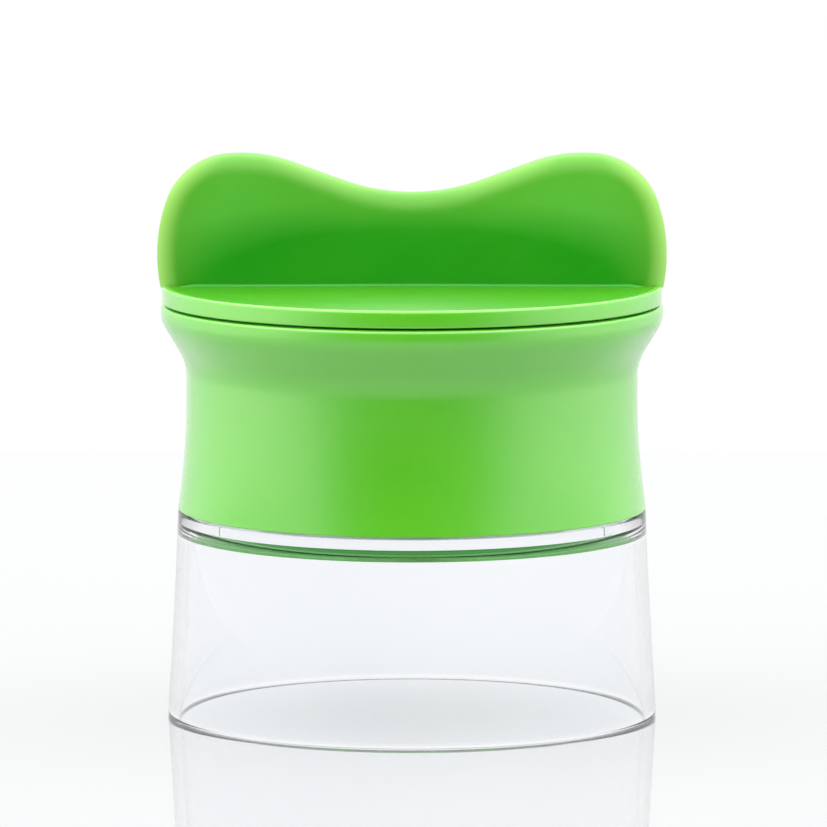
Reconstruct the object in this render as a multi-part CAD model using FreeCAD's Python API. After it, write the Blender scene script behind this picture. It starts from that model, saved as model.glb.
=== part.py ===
"""Hand-held vegetable spiralizer.

A clear open skirt is twist-locked under a waisted body with a blade disc, and a winged food holder caps it.
Millimetres, +Z up, origin at the centre of the circle that the skirt stands on. X runs along the grip fin.
"""

import FreeCAD, Part
import math
import os
from FreeCAD import Vector

# ---------------------------------------------------------------- driving dimensions
SKIRT_FOOT_R = 47.5  # outer radius where the skirt stands
SKIRT_MID_R = 46.42  # outer radius half way up the flare
SKIRT_MID_Z = 18.0
SKIRT_TOP_R = 45.4  # outer radius at the shoulder
SHOULDER_Z = 39.9  # flat shoulder that carries the body
SKIRT_WALL = 2.3
RIM_ROUND = 0.45
NECK_R = 42.5  # outside of the neck that plugs into the body
NECK_BORE_R = 41.0
NECK_TOP_Z = 48.6
BEVEL_LOW_Z = 35.3  # inner bevel between the wall and the neck bore
BEVEL_HIGH_Z = 37.3

LUG_R = 43.7
LUG_LOW_Z = 43.4
LUG_HIGH_Z = 45.4
LUG_DEG = 10.0
LUG_ANGLES = (60.0, 180.0, 300.0)
TWIST_DEG = 28.0  # turn between locked and free
TRACK_PLAY = 0.3
COLLAR_RIB_R = 40.55  # short ribs inside the collar, below the blade disc
COLLAR_RIB_DEG = 2.2
COLLAR_RIB_ANGLES = (90.0, 210.0, 330.0)

BODY_FOOT_Z = 40.2
BODY_FOOT_R = 45.4
WAIST_R = 43.75
WAIST_LOW_Z = 62.0  # end of the long lower flare
WAIST_HIGH_Z = 66.0  # start of the short upper flare
FLARE_R = 10.0  # radius of the hollow under the lip
FLARE_DEG = 31.0
LIP_ARC_R = 5.0
LIP_R = 48.65
LIP_TOP_Z = 79.95
LIP_ROUND = 0.8
BODY_WALL = 2.5
SOCKET_R = NECK_R + 0.25
SOCKET_TOP_Z = 49.0
LEDGE_R = 44.2  # ledge inside the lip that carries the funnel
LEDGE_LOW_Z = 75.8
LEDGE_TOP_Z = 77.3

MOUTH_R = 40.6
FUNNEL_FLANGE_R = 45.4
FUNNEL_TOP_Z = 79.5
MOUTH_LOW_Z = 73.0
THROAT_R = 36.0
THROAT_HIGH_Z = 56.0
FUNNEL_FOOT_Z = 47.0
FUNNEL_WALL = 1.6
GUIDE_RIBS = 8
GUIDE_RIB_R = 35.1  # how far in the ribs in the throat reach

DISC_R = 40.3
DISC_LOW_Z = 42.5
DISC_RIM_Z = FUNNEL_FOOT_Z
RAMP_TOP_Z = 47.8
SLICE = 2.5  # drop of the ramp over one turn, the thickness of a slice
HUB_R = 6.0
RIB_LOW_Z = 40.6

BLADE_IN_X = 6.5
BLADE_OUT_X = 35.0
BLADE_HEEL_Y = -8.0
BLADE_EDGE_Y = 1.0
BLADE_THICK = 0.8
BLADE_LOW_Z = 47.0
SLOT_IN_X = 10.5
SLOT_OUT_X = 31.0
SLOT_HEEL_Y = -5.5
SLOT_EDGE_Y = 2.5
COMB_THICK = 0.6
COMB_TEETH = 7
COMB_PITCH = 2.8
COMB_LOW_Z = DISC_LOW_Z + 0.2
COMB_HIGH_Z = 45.2  # top of its strip, where the teeth start
COMB_END = 1.0  # how far the strip runs past the slot at each end
TOOTH_HALF = 0.7  # half width of a tooth at its root
TOOTH_POINT = 0.7  # height of its pointed tip
TUBE_R = 4.6
TUBE_WALL = 0.4
TUBE_TOP_Z = 50.2

CARRIER_SCREW_R = 38.2  # pitch radius of the screws that hold the blade disc
CARRIER_SCREWS_DEG = (90.0, 210.0, 330.0)
BOSS_R = 2.3
BOSS_TOP_Z = 55.0
CARRIER_HEAD_Z = 42.3  # underside of those screws' heads
SCREW_R = 1.1
SCREW_HEAD_R = 1.9
SCREW_HEAD = 1.3
BLADE_SCREW_R = 0.9
BLADE_SCREW_HEAD_R = 1.7
CROSS_REACH = 0.95  # half length of a driver cross
CROSS_ARM = 0.23  # half width of one of its arms
CROSS_DEPTH = 0.5

CAP_R = 48.4
CAP_LOW_Z = 80.35
CAP_TOP_Z = 83.7
CAP_ROUND = 0.6
TOP_PAD_R = 47.5
TOP_PAD_Z = 82.4
SEAT_Z = 79.6
SEAT_R = 44.4
SEAT_BORE_R = 42.2
PLUG_R = 40.3
PLUG_WALL = 1.7
PLUG_LOW_Z = 73.6

FIN_VALLEY_Z = 101.65  # the outline runs from here, each arc tangent to the last
VALLEY_R = 39.5
VALLEY_DEG = 19.7
SLOPE = 10.25  # straight rise from valley to crest
CREST_R = 29.9
CREST_DEG = 25.4
SHOULDER_R = 13.65
SHOULDER_DEG = 64.7
FLANK_R = 31.1
LOBE_X = 33.1  # place of the crest
FIN_HALF_MIDDLE = 4.1  # half thickness at the valley
FIN_HALF_LOBE = 5.2  # half thickness at the lobes
FIN_ROUND = 3.9
FIN_FOOT_ROUND = 0.7
SKIN = 2.7  # thickness of the soft skin over the core
CORE_HALF = 1.9
ANCHOR_R = 3.0  # holes in the core that the skin is moulded through
ANCHOR_Z = 92.5
ANCHORS_X = (-34.0, -26.0, -6.0, 6.0, 26.0, 34.0)

STEM_R = 13.0
STEM_WALL = 2.2
STEM_LOW_Z = 62.0
STEM_FLOOR = 4.0
FLANGE_R = 20.0
FLANGE = 2.4
HOLDER_SCREW_X = 16.8
HOLDER_HEAD_Z = CAP_LOW_Z - FLANGE - 0.7  # underside of those screws' heads
HOLDER_SCREW = 11.1  # their length
PRONG_COUNT = 6
PRONG_RING_R = 9.3
PRONG_R = 0.8
PRONG_TIP_Z = 53.5
SPIKE_R = 1.2
SPIKE_TIP_Z = 52.0
PRONG_TAPER = 3.0
PRONG_ROOT = 3.0

AXIS = Vector(0, 0, 1)
ORIGIN = Vector(0, 0, 0)


# ---------------------------------------------------------------- shared helpers
def at(r, z):
    """A point of a half section, in the XZ plane."""
    return Vector(r, 0, z)


def line(a, b):
    return Part.LineSegment(a, b).toShape()


def arc(a, through, b):
    return Part.Arc(a, through, b).toShape()


def arc_point(centre, radius, degrees):
    """A point on a circle in the XZ plane, its angle counted from +X towards +Z."""
    turn = math.radians(degrees)
    return at(centre.x + radius * math.cos(turn), centre.z + radius * math.sin(turn))


def turned(edges):
    """The solid that a closed half section sweeps round Z."""
    return Part.Face(Part.Wire(edges)).revolve(ORIGIN, AXIS, 360)


def turned_outline(points):
    """The solid of revolution of a half section with straight sides."""
    return turned([line(a, b) for a, b in zip(points, points[1:] + points[:1])])


def tube(outer, inner, low, high):
    return cylinder(outer, low, high).cut(cylinder(inner, low - 1, high + 1))


def cylinder(radius, low, high, x=0.0, y=0.0):
    return Part.makeCylinder(radius, high - low, Vector(x, y, low))


def box(low, high):
    return Part.makeBox(high[0] - low[0], high[1] - low[1], high[2] - low[2], Vector(*low))


def sector(inner, outer, low, high, middle_deg, width_deg):
    """A block of a ring, width_deg wide about middle_deg."""
    wedge = Part.makeCylinder(outer, high - low, Vector(0, 0, low), AXIS, width_deg)
    wedge.rotate(ORIGIN, AXIS, middle_deg - width_deg / 2)
    return wedge.cut(cylinder(inner, low - 1, high + 1))


def around(shape, degrees):
    """One turned copy of a shape for each angle."""
    copies = []
    for angle in degrees:
        copy = shape.copy()
        copy.rotate(ORIGIN, AXIS, angle)
        copies.append(copy)
    return copies


def join(first, others):
    return first.fuse(others).removeSplitter()


def even(count, first=0.0):
    """count angles, evenly spaced."""
    return [first + 360.0 * k / count for k in range(count)]


def export(name, shape):
    shape.exportStep(os.path.join("parts", name + ".step"))
    sizes = shape.optimalBoundingBox()
    print(f"{name}: {len(shape.Solids)} solid(s), {shape.Volume:.1f} mm3, valid {shape.isValid()},"
          f" {sizes.XLength:.1f} x {sizes.YLength:.1f} x {sizes.ZLength:.1f} mm")


# ---------------------------------------------------------------- clear skirt
def skirt_radius(z):
    """Radius of the arc through the skirt's foot, middle and shoulder."""
    circle = arc(at(SKIRT_FOOT_R, 0), at(SKIRT_MID_R, SKIRT_MID_Z), at(SKIRT_TOP_R, SHOULDER_Z)).Curve
    return circle.Center.x - math.sqrt(circle.Radius**2 - (z - circle.Center.z)**2)


def clear_skirt():
    low = RIM_ROUND
    wall = SKIRT_WALL
    inner_low = skirt_radius(low) - wall
    inner_high = skirt_radius(BEVEL_LOW_Z) - wall
    half_z = BEVEL_LOW_Z / 2
    edges = [
        arc(at(skirt_radius(low), low), at(SKIRT_MID_R, SKIRT_MID_Z),
            at(skirt_radius(SHOULDER_Z - 0.3), SHOULDER_Z - 0.3)),
        line(at(skirt_radius(SHOULDER_Z - 0.3), SHOULDER_Z - 0.3), at(SKIRT_TOP_R - 0.3, SHOULDER_Z)),
        line(at(SKIRT_TOP_R - 0.3, SHOULDER_Z), at(NECK_R, SHOULDER_Z)),
        line(at(NECK_R, SHOULDER_Z), at(NECK_R, NECK_TOP_Z - 0.4)),
        line(at(NECK_R, NECK_TOP_Z - 0.4), at(NECK_R - 0.4, NECK_TOP_Z)),
        line(at(NECK_R - 0.4, NECK_TOP_Z), at(NECK_BORE_R, NECK_TOP_Z)),
        line(at(NECK_BORE_R, NECK_TOP_Z), at(NECK_BORE_R, BEVEL_HIGH_Z)),
        line(at(NECK_BORE_R, BEVEL_HIGH_Z), at(inner_high, BEVEL_LOW_Z)),
        arc(at(inner_high, BEVEL_LOW_Z), at(skirt_radius(half_z) - wall, half_z), at(inner_low, low)),
        arc(at(inner_low, low), at(inner_low + 0.3 * low, 0.3 * low), at(inner_low + low, 0)),
        line(at(inner_low + low, 0), at(skirt_radius(low) - low, 0)),
        arc(at(skirt_radius(low) - low, 0), at(skirt_radius(low) - 0.3 * low, 0.3 * low),
            at(skirt_radius(low), low)),
    ]
    skirt = turned(edges)
    lug = sector(NECK_R - 0.5, LUG_R, LUG_LOW_Z, LUG_HIGH_Z, 0, LUG_DEG)
    rib = sector(COLLAR_RIB_R, NECK_BORE_R + 0.4, BEVEL_HIGH_Z + 0.1, SHOULDER_Z - 0.2, 0, COLLAR_RIB_DEG)
    return join(skirt, around(lug, LUG_ANGLES) + around(rib, COLLAR_RIB_ANGLES))


# ---------------------------------------------------------------- body
def body_outline(inset):
    """Outer line of the body from foot to lip, moved inwards by inset: (edges, foot point, lip point)."""
    rise = WAIST_LOW_Z - BODY_FOOT_Z
    grow = BODY_FOOT_R - WAIST_R
    lower_r = (rise**2 + grow**2) / (2 * grow)
    lower_centre = at(WAIST_R + lower_r, WAIST_LOW_Z)
    foot_deg = 180 + math.degrees(math.asin(rise / lower_r))
    foot = arc_point(lower_centre, lower_r + inset, foot_deg)
    foot_half = arc_point(lower_centre, lower_r + inset, (foot_deg + 180) / 2)
    waist_low = at(WAIST_R - inset, WAIST_LOW_Z)
    waist_high = at(WAIST_R - inset, WAIST_HIGH_Z)
    flare_centre = at(WAIST_R + FLARE_R, WAIST_HIGH_Z)
    flare_half = arc_point(flare_centre, FLARE_R + inset, 180 - FLARE_DEG / 2)
    flare_end = arc_point(flare_centre, FLARE_R + inset, 180 - FLARE_DEG)
    outer_flare_end = arc_point(flare_centre, FLARE_R, 180 - FLARE_DEG)
    lean = math.radians(FLARE_DEG)
    lip_start_x = LIP_R - LIP_ARC_R * (1 - math.cos(lean))
    straight = (lip_start_x - outer_flare_end.x) / math.sin(lean)
    lip_centre_z = outer_flare_end.z + straight * math.cos(lean) + LIP_ARC_R * math.sin(lean)
    lip_centre = at(LIP_R - LIP_ARC_R, lip_centre_z)
    lip_start = arc_point(lip_centre, LIP_ARC_R - inset, -FLARE_DEG)
    lip_half = arc_point(lip_centre, LIP_ARC_R - inset, -FLARE_DEG / 2)
    lip_end = arc_point(lip_centre, LIP_ARC_R - inset, 0)
    edges = [
        arc(foot, foot_half, waist_low),
        line(waist_low, waist_high),
        arc(waist_high, flare_half, flare_end),
        line(flare_end, lip_start),
        arc(lip_start, lip_half, lip_end),
    ]
    return edges, foot, lip_end


def upper_body():
    outer, foot, lip = body_outline(0)
    round_start = at(lip.x, LIP_TOP_Z - LIP_ROUND)
    round_half = arc_point(at(lip.x - LIP_ROUND, LIP_TOP_Z - LIP_ROUND), LIP_ROUND, 45)
    round_end = at(lip.x - LIP_ROUND, LIP_TOP_Z)
    outer += [line(lip, round_start), arc(round_start, round_half, round_end)]
    outer += [line(round_end, at(0, LIP_TOP_Z)), line(at(0, LIP_TOP_Z), at(0, foot.z))]
    outer += [line(at(0, foot.z), foot)]
    inner, inner_foot, inner_lip = body_outline(BODY_WALL)
    top = LIP_TOP_Z + 1
    inner += [line(inner_lip, at(inner_lip.x, top)), line(at(inner_lip.x, top), at(0, top))]
    inner += [line(at(0, top), at(0, inner_foot.z)), line(at(0, inner_foot.z), inner_foot)]
    shell = turned(outer).cut(turned(inner).cut(cylinder(LIP_R, BODY_FOOT_Z - 5, SOCKET_TOP_Z)))
    shell = shell.cut(cylinder(SOCKET_R, BODY_FOOT_Z - 5, SOCKET_TOP_Z))
    ledge = turned_outline([
        at(LEDGE_R, LEDGE_TOP_Z), at(LEDGE_R, LEDGE_LOW_Z + 0.8), at(LEDGE_R + 1.0, LEDGE_LOW_Z - 1.0),
        at(LEDGE_R + 2.2, LEDGE_LOW_Z), at(LEDGE_R + 2.2, LEDGE_TOP_Z)])
    shell = join(shell, [ledge])
    inner_r = SOCKET_R - 0.5
    outer_r = LUG_R + TRACK_PLAY
    low = LUG_LOW_Z - TRACK_PLAY
    high = LUG_HIGH_Z + TRACK_PLAY
    width = LUG_DEG + 1.0
    entry = sector(inner_r, outer_r, BODY_FOOT_Z - 1, high, -TWIST_DEG, width)
    track = sector(inner_r, outer_r, low, high, -TWIST_DEG / 2, TWIST_DEG + width)
    return shell.cut(around(entry.fuse(track), LUG_ANGLES))


def guide_funnel():
    wall = FUNNEL_WALL
    funnel = turned_outline([
        at(MOUTH_R + 0.4, FUNNEL_TOP_Z), at(MOUTH_R, FUNNEL_TOP_Z - 0.4), at(MOUTH_R, MOUTH_LOW_Z),
        at(THROAT_R, THROAT_HIGH_Z), at(THROAT_R, FUNNEL_FOOT_Z),
        at(THROAT_R + wall, FUNNEL_FOOT_Z), at(THROAT_R + wall, THROAT_HIGH_Z - 0.2),
        at(MOUTH_R + wall, MOUTH_LOW_Z), at(MOUTH_R + wall, LEDGE_TOP_Z),
        at(FUNNEL_FLANGE_R, LEDGE_TOP_Z), at(FUNNEL_FLANGE_R, FUNNEL_TOP_Z)])
    boss = cylinder(BOSS_R, FUNNEL_FOOT_Z, BOSS_TOP_Z, CARRIER_SCREW_R)
    boss = boss.cut(cylinder(THROAT_R + 0.3, FUNNEL_FOOT_Z - 1, BOSS_TOP_Z + 1))
    hole = cylinder(SCREW_R, FUNNEL_FOOT_Z - 1, BOSS_TOP_Z - 2, CARRIER_SCREW_R)
    rib = box((GUIDE_RIB_R, -0.6, RAMP_TOP_Z + 0.3), (THROAT_R + 0.8, 0.6, THROAT_HIGH_Z - 1))
    rib_angles = even(GUIDE_RIBS, 22.5)
    funnel = join(funnel, around(boss, CARRIER_SCREWS_DEG) + around(rib, rib_angles))
    return funnel.cut(around(hole, CARRIER_SCREWS_DEG))


# ---------------------------------------------------------------- blade disc
def above_ramp():
    """The space over a helical ramp that drops by one slice in a turn, starting behind the blade's heel."""
    inner = Part.makeHelix(SLICE, SLICE, HUB_R)
    outer = Part.makeHelix(SLICE, SLICE, THROAT_R - 0.1)
    ramp = Part.makeRuledSurface(inner.Edges[0], outer.Edges[0])
    space = ramp.extrude(Vector(0, 0, 3 * SLICE))
    space.rotate(ORIGIN, AXIS, math.degrees(math.atan2(SLOT_EDGE_Y + 1.5, 0.5 * (SLOT_IN_X + SLOT_OUT_X))))
    space.translate(Vector(0, 0, RAMP_TOP_Z - SLICE))
    return space


def blade_outline(low_z, high_z, grow=0.0):
    """The block that the blade fills, bigger by grow at its sides."""
    return box((BLADE_IN_X - grow, BLADE_HEEL_Y - grow, low_z), (BLADE_OUT_X + grow, BLADE_EDGE_Y, high_z))


def blade_screw_places():
    y = (BLADE_HEEL_Y + BLADE_EDGE_Y) / 2
    return [((BLADE_IN_X + SLOT_IN_X) / 2, y), ((BLADE_OUT_X + SLOT_OUT_X) / 2, y)]


def comb_space(low_z, high_z):
    low = (SLOT_IN_X - COMB_END, SLOT_EDGE_Y - COMB_THICK, low_z)
    return box(low, (SLOT_OUT_X + COMB_END, SLOT_EDGE_Y, high_z))


def blade_disc():
    disc = cylinder(THROAT_R - 0.1, DISC_LOW_Z, RAMP_TOP_Z).fuse(cylinder(DISC_R, DISC_LOW_Z, DISC_RIM_Z))
    rim = tube(DISC_R, DISC_R - 1.6, RIB_LOW_Z, DISC_LOW_Z + 0.5)
    hub = cylinder(HUB_R, RIB_LOW_Z, DISC_LOW_Z + 0.5)
    rib = box((HUB_R - 1, -0.7, RIB_LOW_Z), (DISC_R - 1, 0.7, DISC_LOW_Z + 0.5))
    frame = [box((SLOT_IN_X - 2, SLOT_HEEL_Y - 1.6, RIB_LOW_Z), (DISC_R - 2, SLOT_HEEL_Y, DISC_LOW_Z + 0.5)),
             box((SLOT_IN_X - 2, SLOT_EDGE_Y, RIB_LOW_Z), (DISC_R - 2, SLOT_EDGE_Y + 1.6, DISC_LOW_Z + 0.5))]
    disc = join(disc, [rim, hub] + around(rib, [60, 120, 180, 240, 300]) + frame)
    disc = disc.cut(above_ramp())
    disc = disc.cut(cylinder(HUB_R, DISC_RIM_Z, RAMP_TOP_Z + 1))
    slot = box((SLOT_IN_X, SLOT_HEEL_Y, RIB_LOW_Z - 1), (SLOT_OUT_X, SLOT_EDGE_Y, RAMP_TOP_Z + 1))
    lead_low = (SLOT_IN_X - 3.6, BLADE_EDGE_Y, BLADE_LOW_Z - SLICE + 0.6)
    lead = box(lead_low, (THROAT_R - 1.0, SLOT_EDGE_Y + 1.5, RAMP_TOP_Z + 1))
    tools = [slot, lead, blade_outline(BLADE_LOW_Z, RAMP_TOP_Z + 1), comb_space(RIB_LOW_Z - 1, COMB_HIGH_Z),
             cylinder(TUBE_R, RIB_LOW_Z - 1, RAMP_TOP_Z + 1)]
    tools += [blade_screw_blank(x, y) for x, y in blade_screw_places()]
    relief = cylinder(SCREW_HEAD_R + 0.7, RIB_LOW_Z - 1, CARRIER_HEAD_Z + 0.4, CARRIER_SCREW_R)
    tools += around(relief, CARRIER_SCREWS_DEG) + around(carrier_screw_blank(), CARRIER_SCREWS_DEG)
    return disc.cut(tools)


def slicing_blade():
    bevel = 1.6
    section = [
        Vector(BLADE_IN_X, BLADE_HEEL_Y, BLADE_LOW_Z),
        Vector(BLADE_IN_X, BLADE_EDGE_Y, BLADE_LOW_Z),
        Vector(BLADE_IN_X, BLADE_EDGE_Y, BLADE_LOW_Z + 0.05),
        Vector(BLADE_IN_X, BLADE_EDGE_Y - bevel, BLADE_LOW_Z + BLADE_THICK),
        Vector(BLADE_IN_X, BLADE_HEEL_Y, BLADE_LOW_Z + BLADE_THICK)]
    wire = Part.Wire([line(a, b) for a, b in zip(section, section[1:] + section[:1])])
    blade = Part.Face(wire).extrude(Vector(BLADE_OUT_X - BLADE_IN_X, 0, 0))
    return blade.cut([blade_screw_blank(x, y) for x, y in blade_screw_places()])


def blade_screw_blank(x, y):
    """A countersunk screw whose head lies flush with the blade, before its cross is cut."""
    head = Part.makeCone(BLADE_SCREW_R, BLADE_SCREW_HEAD_R, BLADE_THICK, Vector(x, y, BLADE_LOW_Z))
    shank = cylinder(BLADE_SCREW_R, DISC_LOW_Z + 0.4, BLADE_LOW_Z, x, y)
    return head.fuse(shank).removeSplitter()


def blade_screw(x, y):
    face_z = BLADE_LOW_Z + BLADE_THICK
    return blade_screw_blank(x, y).cut(driver_cross(x, y, face_z - CROSS_DEPTH, face_z + 1))


def driver_cross(x, y, low, high):
    """The cross recess for a screw head at x, y."""
    return box((x - CROSS_REACH, y - CROSS_ARM, low), (x + CROSS_REACH, y + CROSS_ARM, high)).fuse(
        box((x - CROSS_ARM, y - CROSS_REACH, low), (x + CROSS_ARM, y + CROSS_REACH, high)))


def julienne_comb():
    """A strip with upright pointed teeth that split each slice into strands."""
    tip_z = BLADE_LOW_Z + 0.5
    neck_z = tip_z - TOOTH_POINT
    left = SLOT_IN_X - COMB_END
    right = SLOT_OUT_X + COMB_END
    first = (SLOT_IN_X + SLOT_OUT_X) / 2 - COMB_PITCH * (COMB_TEETH - 1) / 2
    outline = [(left, COMB_LOW_Z), (left, COMB_HIGH_Z)]
    for k in range(COMB_TEETH):
        x = first + k * COMB_PITCH
        outline += [(x - TOOTH_HALF, COMB_HIGH_Z), (x - TOOTH_HALF / 2, neck_z), (x, tip_z)]
        outline += [(x + TOOTH_HALF / 2, neck_z), (x + TOOTH_HALF, COMB_HIGH_Z)]
    outline += [(right, COMB_HIGH_Z), (right, COMB_LOW_Z)]
    points = [Vector(x, SLOT_EDGE_Y - COMB_THICK, z) for x, z in outline]
    wire = Part.Wire([line(a, b) for a, b in zip(points, points[1:] + points[:1])])
    return Part.Face(wire).extrude(Vector(0, COMB_THICK, 0))


def coring_tube():
    inner = TUBE_R - TUBE_WALL
    return turned_outline([
        at(inner, RIB_LOW_Z), at(TUBE_R, RIB_LOW_Z), at(TUBE_R, TUBE_TOP_Z - 0.8),
        at(inner + 0.08, TUBE_TOP_Z), at(inner, TUBE_TOP_Z)])


def pan_screw(x, head_z, length):
    """A pan-head screw, head down, before its cross is cut."""
    head = cylinder(SCREW_HEAD_R, head_z, head_z + SCREW_HEAD, x)
    return head.fuse(cylinder(SCREW_R, head_z + SCREW_HEAD, head_z + length, x)).removeSplitter()


def carrier_screw_blank():
    """A screw that runs up through the blade disc into a funnel boss."""
    return pan_screw(CARRIER_SCREW_R, CARRIER_HEAD_Z, BOSS_TOP_Z - 2.5 - CARRIER_HEAD_Z)


def carrier_screws():
    cross = driver_cross(CARRIER_SCREW_R, 0, CARRIER_HEAD_Z - 1, CARRIER_HEAD_Z + CROSS_DEPTH)
    return Part.makeCompound(around(carrier_screw_blank().cut(cross), CARRIER_SCREWS_DEG))


# ---------------------------------------------------------------- food holder
def tangent_arc(start, heading, radius, turn):
    """An arc in the XZ plane that leaves start along heading and turns by turn: (edge, end, new heading)."""
    side = heading + math.copysign(90, turn)
    centre = arc_point(start, radius, side)
    first = side + 180
    end = arc_point(centre, radius, first + turn)
    return arc(start, arc_point(centre, radius, first + turn / 2), end), end, heading + turn


def fin_outline(inset, foot_z):
    """Closed front outline of the fin, moved inwards by inset, down to foot_z."""
    start = at(0, FIN_VALLEY_Z - inset)
    valley, foot_of_slope, heading = tangent_arc(start, 0, VALLEY_R + inset, VALLEY_DEG)
    head_of_slope = arc_point(foot_of_slope, SLOPE, heading)
    crest, crest_end, heading = tangent_arc(head_of_slope, heading, CREST_R - inset, -CREST_DEG)
    shoulder, shoulder_end, heading = tangent_arc(crest_end, heading, SHOULDER_R - inset, -SHOULDER_DEG)
    flank_r = FLANK_R - inset
    centre_z = arc_point(shoulder_end, flank_r, heading - 90).z
    foot_deg = math.degrees(math.asin((foot_z - centre_z) / flank_r))
    flank, foot, _ = tangent_arc(shoulder_end, heading, flank_r, foot_deg - (heading + 90))
    right = [valley, line(foot_of_slope, head_of_slope), crest, shoulder, flank]
    left = [edge.mirror(ORIGIN, Vector(1, 0, 0)) for edge in right]
    return right + left + [line(at(-foot.x, foot_z), foot)]


def fin_block(inset, foot_z, half):
    """The fin's outline as a block, half thick each side of the XZ plane."""
    wire = Part.Wire(Part.__sortEdges__(fin_outline(inset, foot_z)))
    block = Part.Face(wire).extrude(Vector(0, 2 * half, 0))
    block.translate(Vector(0, -half, 0))
    return block


def bowed_sides():
    """A tall block whose two long sides are hollowed, thinnest at the middle."""
    end_x = CAP_R + 5
    sag = FIN_HALF_LOBE - FIN_HALF_MIDDLE
    radius = (LOBE_X**2 + sag**2) / (2 * sag)
    end_half = FIN_HALF_MIDDLE + radius - math.sqrt(radius**2 - end_x**2)
    front = arc(Vector(-end_x, -end_half, 0), Vector(0, -FIN_HALF_MIDDLE, 0), Vector(end_x, -end_half, 0))
    back = arc(Vector(end_x, end_half, 0), Vector(0, FIN_HALF_MIDDLE, 0), Vector(-end_x, end_half, 0))
    sides = [line(Vector(end_x, -end_half, 0), Vector(end_x, end_half, 0)),
             line(Vector(-end_x, end_half, 0), Vector(-end_x, -end_half, 0))]
    wire = Part.Wire([front, sides[0], back, sides[1]])
    return Part.Face(wire).extrude(Vector(0, 0, 2 * FIN_VALLEY_Z))


def soft_fin():
    """The fin's outer skin shape: hollowed sides, all of its outline rounded over."""
    fin = fin_block(0, CAP_TOP_Z, 20).common(bowed_sides())
    rim_edges = [edge for edge in fin.Edges if is_rim_edge(edge)]
    return fin.makeFillet(FIN_ROUND, rim_edges)


def is_rim_edge(edge):
    """True for the edges that run round the outline on either face, above the foot."""
    box_ = edge.BoundBox
    thin = box_.YMin * box_.YMax > 0
    return thin and box_.ZMax > CAP_TOP_Z + 0.01


def cap_blank():
    """The hard cap before its screw holes: rimmed plate, plug ring, seat ring and the fin's core."""
    round_half = arc_point(at(CAP_R - CAP_ROUND, CAP_TOP_Z - CAP_ROUND), CAP_ROUND, 45)
    edges = [
        line(at(0, CAP_LOW_Z), at(CAP_R - 0.3, CAP_LOW_Z)),
        line(at(CAP_R - 0.3, CAP_LOW_Z), at(CAP_R, CAP_LOW_Z + 0.3)),
        line(at(CAP_R, CAP_LOW_Z + 0.3), at(CAP_R, CAP_TOP_Z - CAP_ROUND)),
        arc(at(CAP_R, CAP_TOP_Z - CAP_ROUND), round_half, at(CAP_R - CAP_ROUND, CAP_TOP_Z)),
        line(at(CAP_R - CAP_ROUND, CAP_TOP_Z), at(TOP_PAD_R, CAP_TOP_Z)),
        line(at(TOP_PAD_R, CAP_TOP_Z), at(TOP_PAD_R, TOP_PAD_Z)),
        line(at(TOP_PAD_R, TOP_PAD_Z), at(0, TOP_PAD_Z)),
        line(at(0, TOP_PAD_Z), at(0, CAP_LOW_Z)),
    ]
    plate = turned(edges)
    plug = turned_outline([
        at(PLUG_R, CAP_LOW_Z + 0.5), at(PLUG_R, PLUG_LOW_Z + 0.5), at(PLUG_R - 0.5, PLUG_LOW_Z),
        at(PLUG_R - PLUG_WALL, PLUG_LOW_Z), at(PLUG_R - PLUG_WALL, CAP_LOW_Z + 0.5)])
    seat = tube(SEAT_R, SEAT_BORE_R, SEAT_Z, CAP_LOW_Z + 0.5)
    rib = box((FLANGE_R + 1, -0.6, CAP_LOW_Z - 2.2), (PLUG_R - 1, 0.6, CAP_LOW_Z + 0.5))
    core = fin_block(SKIN, TOP_PAD_Z - 0.5, CORE_HALF)
    cap = join(plate, [plug, seat, core] + around(rib, even(8, 22.5)))
    anchors = [Part.makeCylinder(ANCHOR_R, 20, Vector(x, -10, ANCHOR_Z), Vector(0, 1, 0)) for x in ANCHORS_X]
    return cap.cut(anchors)


def holder_cap():
    holes = [cylinder(SCREW_R, CAP_LOW_Z - 1, CAP_LOW_Z + 9, x) for x in (-HOLDER_SCREW_X, HOLDER_SCREW_X)]
    return cap_blank().cut(holes)


def grip_overmould():
    """The soft skin: the fin and the top pad, less the hard core that it wraps."""
    pad = cylinder(TOP_PAD_R, TOP_PAD_Z, CAP_TOP_Z)
    skin = join(soft_fin(), [pad])
    foot_edges = [edge for edge in skin.Edges if is_foot_edge(edge)]
    skin = skin.makeFillet(FIN_FOOT_ROUND, foot_edges)
    return skin.cut(cap_blank())


def is_foot_edge(edge):
    """True for the two long edges where the fin meets the pad."""
    box_ = edge.BoundBox
    level = abs(box_.ZMin - CAP_TOP_Z) < 0.01 and abs(box_.ZMax - CAP_TOP_Z) < 0.01
    return level and box_.XLength > CAP_R and abs(box_.YMin) < 8 and abs(box_.YMax) < 8


def prong_places():
    return [(PRONG_RING_R * math.cos(math.radians(a)), PRONG_RING_R * math.sin(math.radians(a)))
            for a in even(PRONG_COUNT, 30.0)]


def pin(x, y, radius, tip_z):
    """A pointed pin, point down, with its root in the stem's floor."""
    root_z = STEM_LOW_Z + PRONG_ROOT
    shank = cylinder(radius, tip_z + PRONG_TAPER, root_z, x, y)
    point = Part.makeCone(0.12, radius, PRONG_TAPER, Vector(x, y, tip_z))
    return shank.fuse(point).removeSplitter()


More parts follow.
